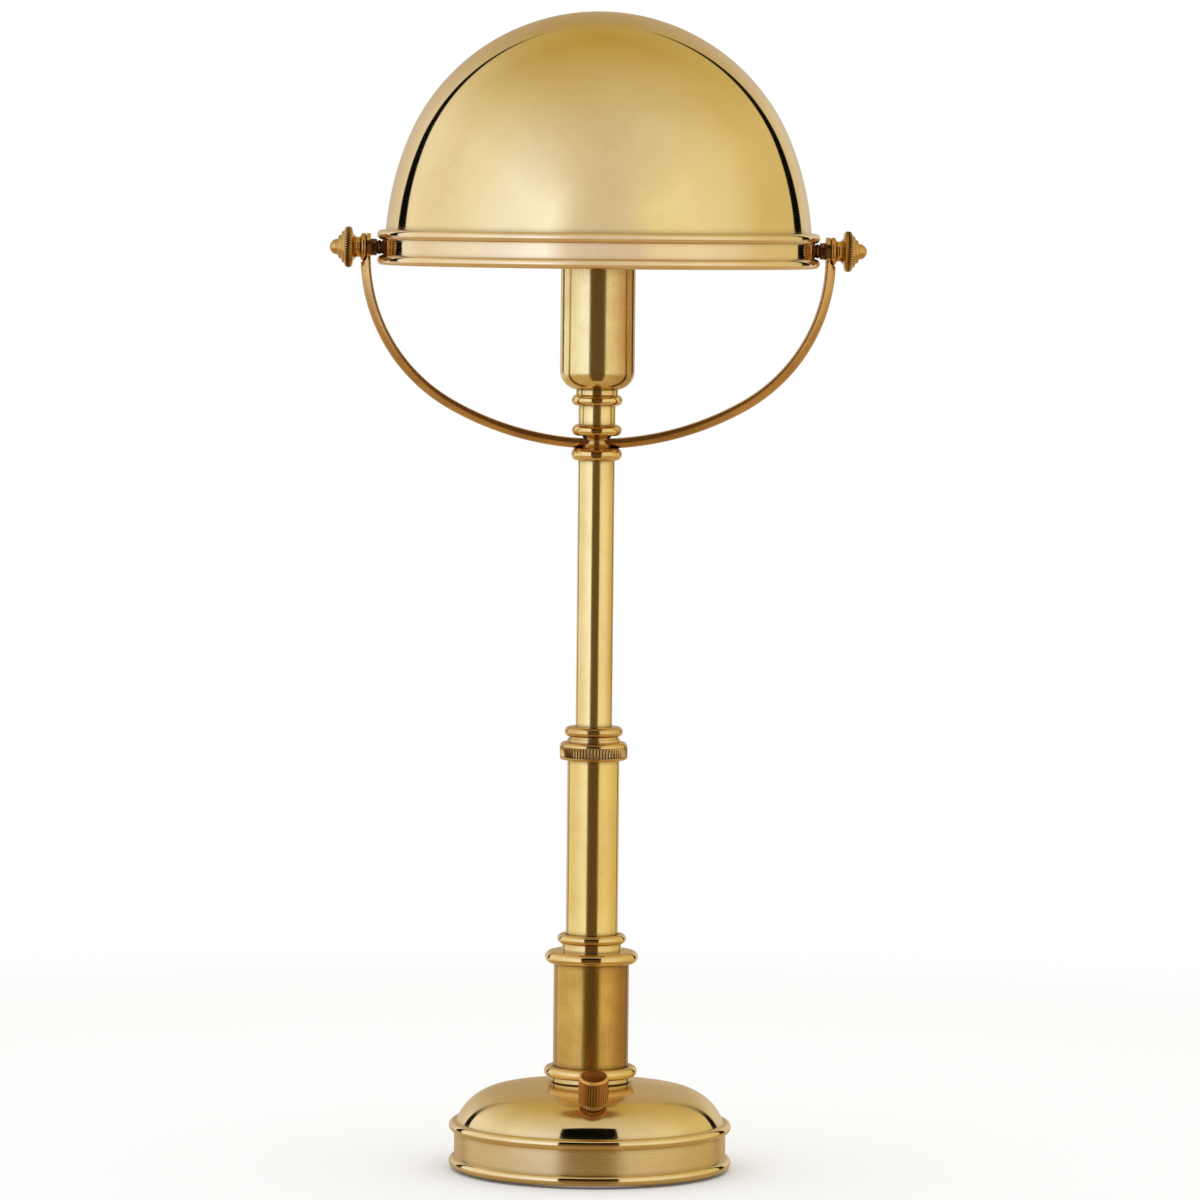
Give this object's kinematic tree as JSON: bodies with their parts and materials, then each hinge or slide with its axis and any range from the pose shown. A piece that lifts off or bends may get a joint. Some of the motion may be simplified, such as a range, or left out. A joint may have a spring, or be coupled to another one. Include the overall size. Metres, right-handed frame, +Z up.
{
  "type": "dome shade desk lamp",
  "caption": "Brass desk lamp: weighted round foot with a switch knob, telescoping column, and a dome shade that tilts in a bow-shaped yoke above its lampholder cup.",
  "frame": {"origin": "centre of the foot pad's underside, on the table", "axes": "+Z up the column, -Y to the switch knob, X along the shade's pivots"},
  "size_m": [0.2406, 0.1982, 0.5205],
  "materials": {
    "polished_brass": "spun or turned brass, polished and clear lacquered",
    "satin_brass": "drawn brass tube, satin brushed along its length and lacquered",
    "antique_brass": "turned brass, browned and waxed",
    "plain_brass": "machined brass, unfinished",
    "zinc_steel": "zinc plated steel",
    "grey_cast_iron": "as cast iron",
    "felt": "dark green wool felt",
    "black_nylon": "moulded nylon",
    "black_phenolic": "moulded phenolic",
    "white_plastic": "moulded polyamide",
    "glazed_porcelain": "glazed porcelain, listed as plastic because the list has no ceramic",
    "fibre": "red vulcanised fibre",
    "lead_sheath": "PVC sheathed copper lead",
    "bulb_metal": "bare aluminium bulb cap",
    "clear_glass": "clear blown glass",
    "filament": "yellow coated lamp filaments"
  },
  "bodies": {
    "column": {"foot_pad": "felt", "bottom_plate": "zinc_steel", "plate_screws": "zinc_steel", "base_weight": "grey_cast_iron", "base_shell": "polished_brass", "cord_inlet_bush": "black_nylon", "cord_inlet_nut": "black_nylon", "terminal_block": "white_plastic", "base_leads": "lead_sheath", "rod_washer": "zinc_steel", "rod_nut": "zinc_steel", "base_rod": "plain_brass", "switch_body": "black_phenolic", "switch_back_nut": "zinc_steel", "switch_ring_nut": "antique_brass", "foot_collar": "polished_brass", "thick_tube": "satin_brass", "reducer_collar": "polished_brass", "mid_tube": "satin_brass", "collet": "plain_brass"},
    "clamp_nut": {"clamp_nut": "antique_brass"},
    "stem_slider": {"guide_bush": "black_nylon"},
    "head": {"stem_tube": "satin_brass", "guide_snap_rings": "zinc_steel", "lower_hub_collar": "polished_brass", "yoke_nipple": "plain_brass", "yoke": "antique_brass", "upper_hub_collar": "polished_brass", "neck_tube": "satin_brass", "cup_collar": "polished_brass", "socket_cup": "polished_brass", "cup_washer": "zinc_steel", "cup_nut": "zinc_steel", "lampholder_cap": "glazed_porcelain", "lampholder_body": "glazed_porcelain", "screw_shell": "plain_brass", "centre_contact": "plain_brass", "socket_leads": "lead_sheath", "bulb_tip": "bulb_metal", "bulb_cap": "bulb_metal", "bulb_glass": "clear_glass", "bulb_mount": "clear_glass", "bulb_filaments": "filament", "friction_washers": "fibre"},
    "shade": {"shade_dome": "polished_brass", "shade_ring": "polished_brass", "pivot_studs": "antique_brass", "pivot_inner_washers": "zinc_steel", "pivot_inner_nuts": "zinc_steel"},
    "knob_left": {"knob_left": "antique_brass"},
    "knob_right": {"knob_right": "antique_brass"},
    "switch_knob": {"switch_knob": "antique_brass", "switch_shaft": "zinc_steel"}
  },
  "joints": [
    {"name": "clamp_turn", "type": "hinge", "parent": "column", "child": "clamp_nut", "pos_m": [0, 0, 0.18531], "axis": [0, 0, 1], "range_deg": [0, 360]},
    {"name": "stem_slide", "type": "slide", "parent": "column", "child": "stem_slider", "axis": [0, 0, 1], "range_m": [-0.08, 0.03]},
    {"name": "stem_swivel", "type": "hinge", "parent": "stem_slider", "child": "head", "pos_m": [0, 0, 0.13386], "axis": [0, 0, 1], "range_deg": [-160, 160]},
    {"name": "shade_tilt", "type": "hinge", "parent": "head", "child": "shade", "pos_m": [0, 0, 0.41444], "axis": [1, 0, 0], "range_deg": [-70, 70]},
    {"name": "knob_left_turn", "type": "hinge", "parent": "shade", "child": "knob_left", "pos_m": [-0.1019, 0, 0.41444], "axis": [-1, 0, 0], "range_deg": [0, 360]},
    {"name": "knob_right_turn", "type": "hinge", "parent": "shade", "child": "knob_right", "pos_m": [0.1019, 0, 0.41444], "axis": [1, 0, 0], "range_deg": [0, 360]},
    {"name": "switch_turn", "type": "hinge", "parent": "column", "child": "switch_knob", "pos_m": [0, -0.04723, 0.03517], "axis": [0, 0.3907, -0.9205], "range_deg": [0, 280]}
  ]
}
